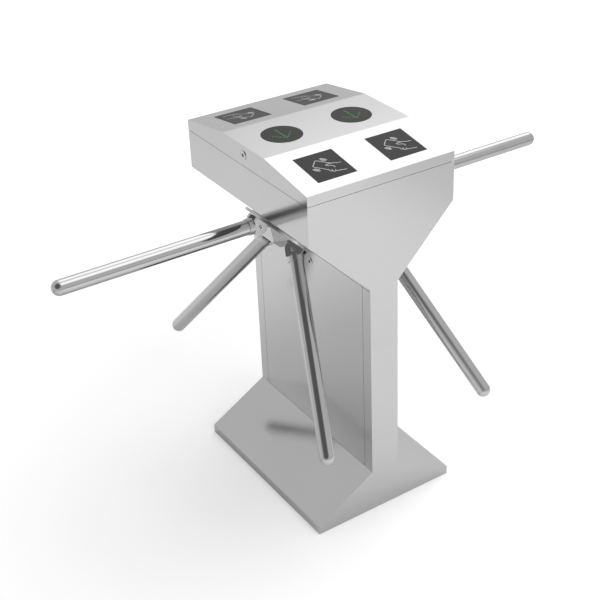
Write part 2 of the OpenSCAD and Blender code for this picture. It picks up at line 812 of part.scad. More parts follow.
function gear_outline(teeth) =
    let (side = flank(teeth), root = gear_module * (teeth / 2 - dedendum_share),
        edge = half_tooth(teeth) * root_share)
    [for (i = [0 : teeth - 1]) let (a = i * 360 / teeth)
        each concat([turned([root, 0], a - edge)], [for (p = side) turned(p, a)],
            [for (k = [4 : -1 : 0]) turned([side[k][0], -side[k][1]], a)], [turned([root, 0], a + edge)])];

module gear(teeth, turn, bore) {
    rotate([0, 0, turn]) difference() {
        linear_extrude(height = gear_w) polygon(gear_outline(teeth));
        translate([0, 0, -overrun]) cylinder(r = bore, h = gear_w + 2 * overrun);
    }
}

module drive_gear() { color(brass) at_depth(gear_d0 + gear_w) gear(gear_teeth, 90, shaft_r + fit); }

module damper_pinion() {
    color(brass) translate([0, gear_centres, 0]) {
        at_depth(gear_d0 + gear_w) gear(pinion_teeth, -90 + 180 / pinion_teeth, damper_shaft_r);
        at_depth(gear_d0 + gear_w)
            cylinder(r = damper_shaft_r, h = gear_d0 + gear_w - 2 * plate_d1 - overrun - seat);
    }
}

// Arms

module cheek() {
    intersection() {
        translate([-fork_back, -fork_low]) square([fork_back + fork_front, fork_low + fork_high]);
        union() {
            circle(r = fork_swing_r);
            translate([0, -fork_low]) square([fork_front, fork_low + fork_high]);
        }
        rotate(arm_cone - 90) translate([-disc_r, disc_top + fork_disc_gap - pivot_h])
            square([2 * disc_r, 2 * disc_r]);
        rotate(arm_cone - 90) translate([-disc_r, -disc_r])
            square([disc_r + fork_low - fork_toe, 2 * disc_r]);
    }
}

module arm_fork() {
    collar_r = arm_d / 2 + collar_extra;
    tube_in = arm_d / 2 - arm_wall - fit;
    color(steel) difference() {
        union() {
            for (side = [0, 1]) mirror([0, 0, side])
                translate([0, 0, tongue_half + cheek_gap]) linear_extrude(height = cheek_t) cheek();
            translate([fork_bridge_s, 0, 0]) rotate([0, 90, 0])
                cylinder(r = collar_r, h = collar_end - fork_bridge_s);
            translate([collar_end, 0, 0]) rotate([0, 90, 0]) cylinder(r = tube_in, h = spigot_l);
        }
        translate([0, 0, -cheek_out - overrun]) cylinder(r = pin_r + fit, h = 2 * (cheek_out + overrun));
    }
}

module arm_tube() {
    tip_s = arm_reach - pivot_reach;
    color(polished) {
        translate([collar_end, 0, 0]) rotate([0, 90, 0])
            ring(arm_d / 2, arm_d / 2 - arm_wall, tip_s - collar_end - seat);
        translate([tip_s, 0, 0]) rotate([0, 90, 0]) {
            difference() {
                sphere(r = arm_d / 2);
                translate([-arm_d, -arm_d, -2 * arm_d]) cube(2 * arm_d);
            }
            translate([0, 0, -cap_spigot_l]) cylinder(r = arm_d / 2 - arm_wall - fit, h = cap_spigot_l);
        }
    }
}

front_panel();
rear_panel();
left_head_sheet();
right_head_sheet();
lid_lock_keeper();
base_sheets();
column_posts();
base_plate();
lid_hinge_leaf();
controller_board();
power_supply();
chassis_plates();
bearing_housings();
shaft_bearings();
damper_bodies();
index_levers();
index_springs();
lock_solenoids();
lid();
lid_hinge_strap();
reader_windows();
reader_modules();
display_windows();
display_boards();
lid_lock_barrel();
lid_lock_plug();
left_door();
left_lock_barrel();
left_lock_plug();
right_door();
right_lock_barrel();
right_lock_plug();
at_hub() hub_disc();  // left_hub_disc
at_hub() hub_head();  // left_hub_head
at_hub() pivot_bolts();  // left_pivot_bolts
at_hub() shaft();  // left_shaft
at_hub() index_cam();  // left_index_cam
at_hub() drive_gear();  // left_drive_gear
right_side() at_hub() hub_disc();  // right_hub_disc
right_side() at_hub() hub_head();  // right_hub_head
right_side() at_hub() pivot_bolts();  // right_pivot_bolts
right_side() at_hub() shaft();  // right_shaft
right_side() at_hub() index_cam();  // right_index_cam
right_side() at_hub() drive_gear();  // right_drive_gear
at_hub() damper_pinion();  // left_damper_pinion
right_side() at_hub() damper_pinion();  // right_damper_pinion
at_hub() at_pivot(0) arm_fork();  // left_arm_fork_1
at_hub() at_pivot(1) arm_fork();  // left_arm_fork_2
at_hub() at_pivot(2) arm_fork();  // left_arm_fork_3
at_hub() at_pivot(0) arm_tube();  // left_arm_tube_1
at_hub() at_pivot(1) arm_tube();  // left_arm_tube_2
at_hub() at_pivot(2) arm_tube();  // left_arm_tube_3
right_side() at_hub() at_pivot(0) arm_fork();  // right_arm_fork_1
right_side() at_hub() at_pivot(1) arm_fork();  // right_arm_fork_2
right_side() at_hub() at_pivot(2) arm_fork();  // right_arm_fork_3
right_side() at_hub() at_pivot(0) arm_tube();  // right_arm_tube_1
right_side() at_hub() at_pivot(1) arm_tube();  // right_arm_tube_2
right_side() at_hub() at_pivot(2) arm_tube();  // right_arm_tube_3
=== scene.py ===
"""Looks of a two-lane tripod turnstile: satin sheet cabinet, polished arms, dark reader and display windows.

The added pieces are drawn in millimetres and scaled to metres when each one is finished.
+Z is up, the lanes run along Y and the barrier arms reach out along -X and +X.
"""
import json
import math

import bmesh
import bpy
from mathutils import Matrix, Vector


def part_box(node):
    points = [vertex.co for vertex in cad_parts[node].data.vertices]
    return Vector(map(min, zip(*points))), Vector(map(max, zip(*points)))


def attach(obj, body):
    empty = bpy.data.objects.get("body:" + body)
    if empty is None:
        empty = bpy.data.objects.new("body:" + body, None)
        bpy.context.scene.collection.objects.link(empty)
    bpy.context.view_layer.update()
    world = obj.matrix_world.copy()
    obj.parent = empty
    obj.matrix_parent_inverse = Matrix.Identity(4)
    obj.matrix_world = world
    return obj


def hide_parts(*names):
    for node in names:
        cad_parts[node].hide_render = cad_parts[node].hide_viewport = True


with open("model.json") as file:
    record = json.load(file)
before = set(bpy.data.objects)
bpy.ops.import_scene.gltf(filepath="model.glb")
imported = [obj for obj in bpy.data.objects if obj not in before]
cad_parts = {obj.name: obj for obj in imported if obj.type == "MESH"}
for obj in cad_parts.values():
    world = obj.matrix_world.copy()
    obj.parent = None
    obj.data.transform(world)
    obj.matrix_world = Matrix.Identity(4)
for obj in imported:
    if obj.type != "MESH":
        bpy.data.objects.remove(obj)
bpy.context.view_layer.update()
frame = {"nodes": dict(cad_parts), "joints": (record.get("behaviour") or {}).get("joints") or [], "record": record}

MM = 0.001
UP = Vector((0, 0, 1))

# Flats of a hexagon
HEX = 6

# Angle in degrees from which an edge stays sharp
SHARP_ANGLE = 34

# Sign of X on each side, and the turn about Z that brings the front to each end
SIDE_SIGN = {"left": -1, "right": 1}
END_TURN = {"front": 0, "rear": math.pi}


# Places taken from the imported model, in millimetres

JOINTS = {joint["name"]: joint for joint in frame["joints"]}
LID_LOW, LID_HIGH = (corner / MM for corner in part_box("lid"))

# Lid outline, windows and rotor, as the part is drawn
FLAT_HALF = 95
SLOPE_DROP = 28
SLOPE_TILT = math.atan2(SLOPE_DROP, LID_HIGH.y - FLAT_HALF)
WINDOW_X = 101.5
ARM_COUNT = 3

# A place turned over, so that its Z looks down or inward
TURNED_OVER = Matrix.Rotation(math.pi, 4, "X")


def joint_place(name):
    """Point on a joint's axis, in millimetres, and its direction, at rest."""
    joint = JOINTS[name]
    return Vector(joint["pos_m"]) / MM, Vector(joint["axis"]).normalized()


def facing(point, outward, upward):
    """Frame at a point whose Z looks outward and whose Y leans as far as it can towards upward."""
    z = Vector(outward).normalized()
    x = Vector(upward).cross(z).normalized()
    y = z.cross(x)
    return Matrix.Translation(point) @ Matrix((x, y, z)).transposed().to_4x4()


def round_spot(radius, angle, height=0.0):
    """Point at a radius and an angle (radians) round Z."""
    return Vector((radius * math.cos(angle), radius * math.sin(angle), height))


def reader_frame(end, hand):
    """Middle of the reader window on the left or right hand of someone who walks up to that end.

    X points to that person's right and Y up the slope.
    """
    middle_y = (LID_HIGH.y + FLAT_HALF) / 2
    place = Matrix.Translation((SIDE_SIGN[hand] * WINDOW_X, -middle_y, LID_HIGH.z - SLOPE_DROP / 2))
    place = place @ Matrix.Rotation(SLOPE_TILT, 4, "X")
    return Matrix.Rotation(END_TURN[end], 4, "Z") @ place


def display_frame(side):
    """Middle of a display window on the lid's flat top."""
    return Matrix.Translation((SIDE_SIGN[side] * WINDOW_X, 0, LID_HIGH.z))


def hub_frame(side):
    """Middle of the hub's underside, Z out along the rotor axis; arm 1 leans towards +X of this frame."""
    middle, axis = joint_place(side + "_rotor_turn")
    across = Vector((0, -SIDE_SIGN[side], 0))
    return Matrix.Translation(middle) @ Matrix((across.cross(axis), across, axis)).transposed().to_4x4()


def pivot_frame(side, arm):
    """Middle of an arm's pivot bolt, Z along the bolt."""
    hub = hub_frame(side)
    pivot = hub.inverted() @ joint_place(side + "_arm_drop")[0]
    return (hub @ Matrix.Rotation(math.tau * arm / ARM_COUNT, 4, "Z") @ Matrix.Translation(pivot)
            @ Matrix.Rotation(-math.pi / 2, 4, "X"))


# Mesh building

def skin_rows(bm, rows, hollow=False):
    """Skin over rings of corners: closed at both ends, or hollow with the last ring joined to the first."""
    pairs = list(zip(rows, rows[1:]))
    if hollow:
        pairs.append((rows[-1], rows[0]))
    for low, high in pairs:
        for index in range(len(low)):
            after = (index + 1) % len(low)
            bm.faces.new((low[index], low[after], high[after], high[index]))
    if not hollow:
        bm.faces.new(rows[0])
        bm.faces.new(rows[-1])


def add_turned(bm, profile, place, steps=36, hollow=False):
    """Solid turned round Z through rows of (corner radius, height) or (corner radius, height, flats)."""
    rows = []
    for radius, height, *flats in profile:
        row = []
        for step in range(steps):
            angle = math.tau * step / steps
            reach = radius
            if flats:
                half = math.pi / flats[0]
                reach = radius * math.cos(half) / math.cos(angle % (2 * half) - half)
            row.append(bm.verts.new(place @ round_spot(reach, angle, height)))
        rows.append(row)
    skin_rows(bm, rows, hollow)


def add_block(bm, low, high, place, soft=0.4):
    """Block between two corners, its edges softened by a small radius."""
    low, high = Vector(low), Vector(high)
    scale = Matrix.Diagonal((*(high - low), 1))
    made = bmesh.ops.create_cube(bm, size=1, matrix=place @ Matrix.Translation((low + high) / 2) @ scale)
    edges = list(dict.fromkeys(edge for corner in made["verts"] for edge in corner.link_edges))
    bmesh.ops.bevel(bm, geom=edges, offset=soft, segments=2, affect="EDGES", profile=0.5)


def add_strip(bm, points, width, place, height):
    """Flat raised line through points in the plane of place, with mitred corners."""
    points = [Vector(point) for point in points]
    ways = [(after - before).normalized() for before, after in zip(points, points[1:])]
    least_cosine = 0.5
    rows = []
    for index, point in enumerate(points):
        before = ways[max(index - 1, 0)]
        way = (before + ways[min(index, len(ways) - 1)]).normalized()
        side = Vector((-way.y, way.x)) * width / 2 / max(least_cosine, way.dot(before))
        corners = [(point + side, -height), (point + side, height),
                   (point - side, height), (point - side, -height)]
        rows.append([bm.verts.new(place @ Vector((*flat, level))) for flat, level in corners])
    skin_rows(bm, rows)


def add_wire(bm, points, radius):
    """Round wire through points."""
    sides = 8
    points = [Vector(point) for point in points]
    rows = []
    for index, point in enumerate(points):
        way = (points[min(index + 1, len(points) - 1)] - points[max(index - 1, 0)]).normalized()
        turn = way.to_track_quat("Z", "Y")
        rows.append([bm.verts.new(point + turn @ round_spot(radius, math.tau * step / sides))
                     for step in range(sides)])
    skin_rows(bm, rows)


def arc(middle, radius, start, end, steps=8):
    """Points of an arc in the plane, with angles in degrees."""
    angles = [math.radians(start + (end - start) * step / steps) for step in range(steps + 1)]
    return [(middle[0] + radius * math.cos(angle), middle[1] + radius * math.sin(angle)) for angle in angles]


def make_piece(name, bm, body, finish):
    """Finished object from a mesh drawn in millimetres, riding on its body."""
    bmesh.ops.recalc_face_normals(bm, faces=bm.faces)
    bmesh.ops.scale(bm, vec=(MM, MM, MM), verts=bm.verts)
    mesh = bpy.data.meshes.new(name)
    bm.to_mesh(mesh)
    bm.free()
    mesh.materials.append(finish)
    mesh.shade_smooth()
    mesh.set_sharp_from_angle(angle=math.radians(SHARP_ANGLE))
    thing = bpy.data.objects.new(name, mesh)
    bpy.context.scene.collection.objects.link(thing)
    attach(thing, body)
    return thing


# Node helpers

def rgb(red, green, blue):
    """Solid colour."""
    return (red, green, blue, 1)


def grey(value):
    """Solid colour without a hue."""
    return rgb(value, value, value)


def feed(tree, socket, value):
    """Puts another node's output or a fixed value into a socket."""
    if isinstance(value, bpy.types.NodeSocket):
        tree.links.new(value, socket)
    else:
        socket.default_value = value


def new_group(name, inputs, outputs):
    """Empty shader group with inputs given as (name, kind, default) and outputs as (name, kind)."""
    group = bpy.data.node_groups.new(name, "ShaderNodeTree")
    for label, kind, default in inputs:
        socket = group.interface.new_socket(name=label, in_out="INPUT", socket_type=f"NodeSocket{kind}")
        socket.default_value = default
    for label, kind in outputs:
        group.interface.new_socket(name=label, in_out="OUTPUT", socket_type=f"NodeSocket{kind}")
    return group, group.nodes.new("NodeGroupInput").outputs, group.nodes.new("NodeGroupOutput").inputs


def add_math(tree, operation, *values):
    """Maths node on fixed values or other nodes' outputs."""
    node = tree.nodes.new("ShaderNodeMath")
    node.operation = operation
    for socket, value in zip(node.inputs, values):
        feed(tree, socket, value)
    return node.outputs[0]


def add_vector_math(tree, operation, *values, output="Value"):
    """Vector maths node; output is Value where the result is a number and Vector where it is a vector."""
    node = tree.nodes.new("ShaderNodeVectorMath")
    node.operation = operation
    for socket, value in zip(node.inputs, values):
        feed(tree, socket, value)
    return node.outputs[output]


def add_blend(tree, first, second, share):
    """Two 0..1 values added up, the first with the given share."""
    return add_math(tree, "ADD", add_math(tree, "MULTIPLY", first, share),
                    add_math(tree, "MULTIPLY", second, 1 - share))


def add_range(tree, value, low, high):
    """Spreads a 0..1 value over low..high."""
    node = tree.nodes.new("ShaderNodeMapRange")
    for label, given in (("Value", value), ("To Min", low), ("To Max", high)):
        feed(tree, node.inputs[label], given)
    return node.outputs["Result"]


def add_fade(tree, value, start, end, low=0.0, high=1.0):
    """Smooth change from low to high while the value runs from start to end."""
    node = tree.nodes.new("ShaderNodeMapRange")
    node.interpolation_type = "SMOOTHSTEP"
    for label, given in (("Value", value), ("From Min", start), ("From Max", end),
                         ("To Min", low), ("To Max", high)):
        feed(tree, node.inputs[label], given)
    return node.outputs["Result"]


def add_noise(tree, vector, scale, detail, roughness):
    """Soft noise between 0 and 1."""
    node = tree.nodes.new("ShaderNodeTexNoise")
    for label, given in (("Vector", vector), ("Scale", scale), ("Detail", detail), ("Roughness", roughness)):
        feed(tree, node.inputs[label], given)
    return node.outputs["Fac"]


def add_mix(tree, kind, factor, first, second):
    """Mix of two colours (kind RGBA), vectors (VECTOR) or values (FLOAT)."""
    def only(sockets, name):
        """The node has a socket of every kind under each name."""
        return next(s for s in sockets if s.name == name and s.type == {"FLOAT": "VALUE"}.get(kind, kind))

    node = tree.nodes.new("ShaderNodeMix")
    node.data_type = kind
    feed(tree, node.inputs["Factor"], factor)
    feed(tree, only(node.inputs, "A"), first)
    feed(tree, only(node.inputs, "B"), second)
    return only(node.outputs, "Result")


# Effects that several finishes share, as node groups with these outputs

EFFECT_OUTPUTS = [("Color", "Color"), ("Roughness", "Float"), ("Height", "Float")]


def end_effect(group, entry, leave, tint, gloss, relief):
    """Outputs of an effect: tint and gloss run between the limits on its inputs, and relief is its height."""
    group.links.new(add_mix(group, "RGBA", tint, entry["Dark"], entry["Light"]), leave["Color"])
    group.links.new(add_range(group, gloss, entry["Smooth"], entry["Rough"]), leave["Roughness"])
    group.links.new(relief, leave["Height"])
    return group


def effect_inputs(dark, light, scales, smooth, rough):
    """Input sockets of an effect: two colours, its scales, and the limits of its roughness."""
    return [("Dark", "Color", dark), ("Light", "Color", light),
            *[(label, "Float", value) for label, value in scales],
            ("Smooth", "Float", smooth), ("Rough", "Float", rough)]


def stretched(tree, where, along, across):
    """Object position, drawn out along X on level and end faces and along Y on faces that look sideways."""
    sideways_slope = 0.4
    split = tree.nodes.new("ShaderNodeSeparateXYZ")
    tree.links.new(where["Normal"], split.inputs[0])
    sideways = add_math(tree, "GREATER_THAN", add_math(tree, "ABSOLUTE", split.outputs["X"]), sideways_slope)
    drawn_out = []
    for order in ((along, across, across), (across, along, across)):
        scale = tree.nodes.new("ShaderNodeCombineXYZ")
        for socket, value in zip(scale.inputs, order):
            tree.links.new(value, socket)
        drawn_out.append(
            add_vector_math(tree, "MULTIPLY", where["Object"], scale.outputs[0], output="Vector"))
    return add_mix(tree, "VECTOR", sideways, *drawn_out)


def sheet_grain_group():
    """Grain of brushed stainless sheet, with the broad haze that handling leaves."""
    group, entry, leave = new_group("sheet_grain", effect_inputs(
        grey(0.5), grey(0.6), [("Along", 6.0), ("Across", 900.0)], smooth=0.2, rough=0.3), EFFECT_OUTPUTS)
    where = group.nodes.new("ShaderNodeTexCoord").outputs
    lines = stretched(group, where, entry["Along"], entry["Across"])
    grain = add_noise(group, lines, scale=1.0, detail=3.0, roughness=0.6)
    haze = add_noise(group, where["Object"], scale=5.0, detail=2.0, roughness=0.5)
    tint = add_blend(group, grain, haze, share=0.6)
    gloss = add_blend(group, grain, haze, share=0.35)
    return end_effect(group, entry, leave, tint, gloss, grain)


def polish_group():
    """Polished metal: faint smears that soften the mirror, and hairline scuffs."""
    group, entry, leave = new_group("polish", effect_inputs(
        grey(0.7), grey(0.85), [("Smear Scale", 22.0)], smooth=0.05, rough=0.14), EFFECT_OUTPUTS)
    where = group.nodes.new("ShaderNodeTexCoord").outputs
    smear = add_noise(group, where["Object"], entry["Smear Scale"], detail=4.0, roughness=0.6)
    scuff = add_noise(group, where["Object"], scale=1400.0, detail=2.0, roughness=0.6)
    gloss = add_blend(group, smear, scuff, share=0.75)
    return end_effect(group, entry, leave, smear, gloss, scuff)


def plating_group():
    """Zinc plating: pale and dark crystals in a cloudy layer."""
    group, entry, leave = new_group("plating", effect_inputs(
        rgb(0.35, 0.36, 0.37), rgb(0.55, 0.56, 0.57), [("Crystal Scale", 180.0)], smooth=0.28, rough=0.46),
        EFFECT_OUTPUTS)
    where = group.nodes.new("ShaderNodeTexCoord").outputs
    cells = group.nodes.new("ShaderNodeTexVoronoi")
    group.links.new(where["Object"], cells.inputs["Vector"])
    group.links.new(entry["Crystal Scale"], cells.inputs["Scale"])
    split = group.nodes.new("ShaderNodeSeparateColor")
    group.links.new(cells.outputs["Color"], split.inputs[0])
    cloud = add_noise(group, where["Object"], scale=24.0, detail=4.0, roughness=0.6)
    crystals = add_blend(group, split.outputs["Red"], cloud, share=0.45)
    return end_effect(group, entry, leave, crystals, crystals, cloud)


def moulding_group():
    """Moulded or cast surface: a fine pebble with slow changes of tone."""
    group, entry, leave = new_group("moulding", effect_inputs(
        grey(0.02), grey(0.04), [("Pebble Scale", 900.0)], smooth=0.35, rough=0.55), EFFECT_OUTPUTS)
    where = group.nodes.new("ShaderNodeTexCoord").outputs
    pebble = add_noise(group, where["Object"], entry["Pebble Scale"], detail=2.0, roughness=0.6)
    tone = add_noise(group, where["Object"], scale=12.0, detail=2.0, roughness=0.5)
    gloss = add_blend(group, pebble, tone, share=0.6)
    return end_effect(group, entry, leave, tone, gloss, pebble)


GROUPS = {"sheet_grain": sheet_grain_group(), "polish": polish_group(),
          "plating": plating_group(), "moulding": moulding_group()}


# Finishes

BUMP_DEPTH = 0.02 * MM


def finish_of(name, effect, dark, light, metallic, bump, values=None, sockets=None):
    """Material with its own Principled shader, fed by one shared effect.

    The values go to the effect's inputs and the sockets to the shader's own.
    """
    material = bpy.data.materials.new(name)
    material.use_nodes = True
    tree = material.node_tree
    shader = tree.nodes["Principled BSDF"]
    shader.inputs["Metallic"].default_value = metallic
    for label, value in (sockets or {}).items():
        shader.inputs[label].default_value = value
    part = tree.nodes.new("ShaderNodeGroup")
    part.node_tree = GROUPS[effect]
    for label, value in {"Dark": dark, "Light": light, **(values or {})}.items():
        part.inputs[label].default_value = value
    tree.links.new(part.outputs["Color"], shader.inputs["Base Color"])
    tree.links.new(part.outputs["Roughness"], shader.inputs["Roughness"])
    if bump:
        relief = tree.nodes.new("ShaderNodeBump")
        relief.inputs["Strength"].default_value = bump
        relief.inputs["Distance"].default_value = BUMP_DEPTH
        tree.links.new(part.outputs["Height"], relief.inputs["Height"])
        tree.links.new(relief.outputs["Normal"], shader.inputs["Normal"])
    return material


SHEET = finish_of(
    "satin_sheet", "sheet_grain", grey(0.55), grey(0.63), metallic=1, bump=0.15,
    values={"Along": 5.0, "Across": 900.0, "Smooth": 0.10, "Rough": 0.16})
HUB = finish_of(
    "machined_hub", "sheet_grain", grey(0.52), grey(0.66), metallic=1, bump=0.35,
    values={"Along": 60.0, "Across": 1500.0, "Smooth": 0.16, "Rough": 0.3})
TUBE = finish_of(
    "polished_tube", "polish", grey(0.52), grey(0.60), metallic=1, bump=0,
    values={"Smear Scale": 9.0, "Smooth": 0.05, "Rough": 0.12})
BEARING = finish_of(
    "ground_steel", "polish", grey(0.55), grey(0.72), metallic=1, bump=0.1,
    values={"Smear Scale": 60.0, "Smooth": 0.12, "Rough": 0.25})
ZINC = finish_of(
    "zinc_plating", "plating", rgb(0.34, 0.35, 0.37), rgb(0.56, 0.58, 0.60), metallic=1, bump=0.2)
BRASS = finish_of(
    "machined_brass", "polish", rgb(0.50, 0.36, 0.14), rgb(0.70, 0.53, 0.24), metallic=1, bump=0.1,
    values={"Smear Scale": 70.0, "Smooth": 0.18, "Rough": 0.34})
# Lock plug nickel painted very dark: the dark base colour is a painted reflection, standing in for the dark look
# of the plug face
NICKEL_PAINTED_DARK = finish_of(
    "nickel_painted_dark", "polish", grey(0.07), grey(0.15), metallic=1, bump=0.1,
    values={"Smear Scale": 160.0, "Smooth": 0.14, "Rough": 0.28})
CHROME = finish_of(
    "lock_chrome", "polish", grey(0.55), grey(0.72), metallic=1, bump=0,
    values={"Smear Scale": 120.0, "Smooth": 0.06, "Rough": 0.16})
GLASS = finish_of(
    "dark_window", "moulding", grey(0.009), grey(0.015), metallic=0, bump=0.3,
    values={"Pebble Scale": 700.0, "Smooth": 0.22, "Rough": 0.34},
    sockets={"Specular IOR Level": 0.16})
SMOKED = finish_of(
    "smoked_window", "moulding", grey(0.016), grey(0.026), metallic=0, bump=0.3,
    values={"Pebble Scale": 1300.0, "Smooth": 0.22, "Rough": 0.34},
    sockets={"Specular IOR Level": 0.1})
PRINT = finish_of(
    "pale_print", "moulding", grey(0.58), grey(0.70), metallic=0, bump=0.2,
    values={"Pebble Scale": 500.0, "Smooth": 0.4, "Rough": 0.6})
LED = finish_of(
    "green_led", "moulding", rgb(0.02, 0.13, 0.03), rgb(0.035, 0.19, 0.045), metallic=0, bump=0.1,
    values={"Pebble Scale": 400.0, "Smooth": 0.2, "Rough": 0.35},
    sockets={"Specular IOR Level": 0.15, "Emission Color": rgb(0.03, 0.40, 0.06), "Emission Strength": 0.15})
BLACK = finish_of(
    "black_moulding", "moulding", grey(0.016), grey(0.035), metallic=0, bump=0.6)
WINDING = finish_of(
    "enamelled_winding", "polish", rgb(0.32, 0.10, 0.035), rgb(0.48, 0.17, 0.06), metallic=0.6, bump=0.1,
    values={"Smear Scale": 90.0, "Smooth": 0.22, "Rough": 0.36})
TERMINAL = finish_of(
    "terminal_green", "moulding", rgb(0.02, 0.20, 0.07), rgb(0.04, 0.28, 0.10), metallic=0, bump=0.4)
BOARD = finish_of(
    "board_mask", "moulding", rgb(0.01, 0.09, 0.035), rgb(0.02, 0.15, 0.06), metallic=0, bump=0.2,
    values={"Pebble Scale": 300.0, "Smooth": 0.25, "Rough": 0.4})

FINISHES = {"cabinet_steel": SHEET, "hub_steel": HUB, "arm_steel": TUBE, "zinc_plate": ZINC,
            "bearing_steel": BEARING, "gear_brass": BRASS, "window_black": GLASS, "module_black": BLACK,
            "board_green": BOARD, "lock_chrome": CHROME, "lock_brass": NICKEL_PAINTED_DARK}
OWN_FINISHES = {"display_windows": SMOKED}


def finish_the_frame():
    """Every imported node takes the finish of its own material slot."""
    slots = {row["node"]: row["material_slot"] for row in frame["record"]["subparts"]}
    for name, thing in frame["nodes"].items():
        thing.data.materials.clear()
        thing.data.materials.append(OWN_FINISHES.get(name, FINISHES[slots[name]]))


# Reader windows and displays

def reader_mark(end, hand):
    """Printed sign of a hand that holds a card to the window, with waves on both sides of the card."""
    raised = 0.12
    line_w, wave_w, wave_half_angle = 1.4, 1.6, 38
    card = [(11, 14.5), *arc((-22, 10.5), 4, 90, 180, 4), *arc((-22, -10.5), 4, 180, 270, 4), (13, -14.5)]
    thumb = [(33, 27), (22, 20), (15, 17), (9, 12), (3, 7), (1, 3.5),
             (3.5, 1), (9, 2.5), (15, 6), (21, 5), (24, 1)]
    fingers = [[(13, -14.5), (15, -18), (19, -18.5), (21, -15), (19, -11)],
               [(21, -15), (24, -17.5), (28, -16), (29, -12), (26, -9)],
               [(29, -12), (34, -11.5), (40, -6), (45, -4), (51, 2)]]
    waves = [arc(middle, radius, heading - wave_half_angle, heading + wave_half_angle)
             for middle, heading in (((-9, 13), 90), ((-14, -13), -90)) for radius in (8, 11.6, 15.2)]

    def turned(points):
        """The sign is drawn level and printed at 45 degrees."""
        return [((s + t) / math.sqrt(2), (t - s) / math.sqrt(2)) for s, t in points]

    bm = bmesh.new()
    place = reader_frame(end, hand)
    for points in (card, thumb, *fingers):
        add_strip(bm, turned(points), line_w, place, raised)
    for points in waves:
        add_strip(bm, turned(points), wave_w, place, raised)
    make_piece(f"reader_mark_{end}_{hand}", bm, "lid", PRINT)


def direction_arrow(side):
    """Green arrow of lamp dots on the square grid of a display, pointing along the lane."""
    pitch = 6.2
    lamp = [(2.3, -0.1), (2.3, 0.12), (1.5, 0.3)]
    tip_row, last_row, barb = -4, 5, 4
    stem = [(0, row) for row in range(tip_row, last_row + 1)]
    barbs = [(way * step, tip_row + step) for way in (-1, 1) for step in range(1, barb + 1)]
    bm = bmesh.new()
    place = display_frame(side)
    for column, row in stem + barbs:
        add_turned(bm, lamp, place @ Matrix.Translation((pitch * column, pitch * row, 0)), steps=12)
    make_piece(f"direction_arrow_{side}", bm, "lid", LED)


# Hub fasteners and locks

def pivot_bolts(side):
    """Three bolts with hexagon sockets, each closed by a thin nut."""
    cheek, end = 20, 22
    bolt = [(4, -cheek), (4, cheek), (5.5, cheek), (5.5, end - 0.5), (5, end), (3.2, end),
            (3, end - 0.1, HEX), (3, end - 6.5, HEX)]
    nut = [(3.9, -cheek), (5.5, -cheek, HEX), (5.5, 0.4 - end, HEX), (5, -end, HEX),
           (3.6, -end), (3.4, -end - 0.1)]
    bm = bmesh.new()
    for arm in range(ARM_COUNT):
        place = pivot_frame(side, arm) @ TURNED_OVER
        add_turned(bm, bolt, place)
        add_turned(bm, nut, place)
    bolts = make_piece(f"{side}_socket_bolts", bm, side + "_rotor", BEARING)
    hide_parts(side + "_pivot_bolts")


def shaft_bolt(side):
    """Washer and hexagon bolt that hold the hub on its shaft."""
    shaft_end, washer_top = 33.05, 35
    washer = [(14.4, shaft_end), (14.4, washer_top - 0.4), (14, washer_top), (8.2, washer_top)]
    head = [(7.5, washer_top, HEX), (7.5, 39, HEX), (6.9, 39.6, HEX), (6.2, 39.8), (2, 39.8)]
    bm = bmesh.new()
    place = hub_frame(side)
    add_turned(bm, washer, place, steps=48)
    add_turned(bm, head, place)
    make_piece(f"{side}_shaft_bolt", bm, side + "_rotor", BEARING)


def lock_rim(name, body, low, high, outward):
    """Rounded chrome lip round the outer end of a lock barrel, from the corners of the barrel's box."""
    middle = (low + high) / 2 / MM
    middle.x = (low.x if outward < 0 else high.x) / MM
    radius = (high.z - low.z) / 2 / MM
    lip, back, front, crown = 1.9, -0.3, 0.1, 0.5
    profile = [(radius - lip, back), (radius - lip, front), (radius - 0.7 * lip, crown),
               (radius - 0.3 * lip, crown), (radius, front), (radius, back)]
    bm = bmesh.new()
    add_turned(bm, profile, facing(middle, (outward, 0, 0), UP), steps=48, hollow=True)
    make_piece(name, bm, body, CHROME)


# Mechanism under the lid

def reader_module_back(end, hand):
    """Ribs, corner screws and a plug socket on the underside of a reader module."""
    module_t = 18
    place = reader_frame(end, hand) @ Matrix.Translation((0, 0, -module_t)) @ TURNED_OVER
    bm = bmesh.new()
    sunk, rib_top, rib_half, rib_from, rib_to = -0.3, 1.6, 0.9, -38, 14
    rail_x, rail_in, rail_out = 44, 42, 45
    plug_socket = (20, -15, sunk), (31, 15, 5)
    for y in (-30, -18, -6, 6, 18, 30):
        add_block(bm, (rib_from, y - rib_half, sunk), (rib_to, y + rib_half, rib_top), place)
    add_block(bm, *plug_socket, place)
    for y_low, y_high in ((-rail_out, -rail_in), (rail_in, rail_out)):
        add_block(bm, (-rail_x, y_low, sunk), (rail_x, y_high, rib_top), place)
    make_piece(f"reader_back_{end}_{hand}", bm, "lid", BLACK)

    pin_count, pin_pitch, pin_half = 8, 3.6, 0.5
    first_pin = -pin_pitch * (pin_count - 1) / 2
    screw = [(2.6, -0.2), (2.6, 0.8), (1.9, 1.4), (1.4, 1.4), (1.3, 1.3, HEX), (1.3, 0.5, HEX)]
    bm = bmesh.new()
    for step in range(pin_count):
        y = first_pin + step * pin_pitch
        add_block(bm, (24, y - pin_half, 4.8), (27, y + pin_half, 6.4), place, soft=0.15)
    for x in (-39, 39):
        for y in (-37, 37):
            add_turned(bm, screw, place @ Matrix.Translation((x, y, 0)), steps=24)
    make_piece(f"reader_pins_{end}_{hand}", bm, "lid", ZINC)


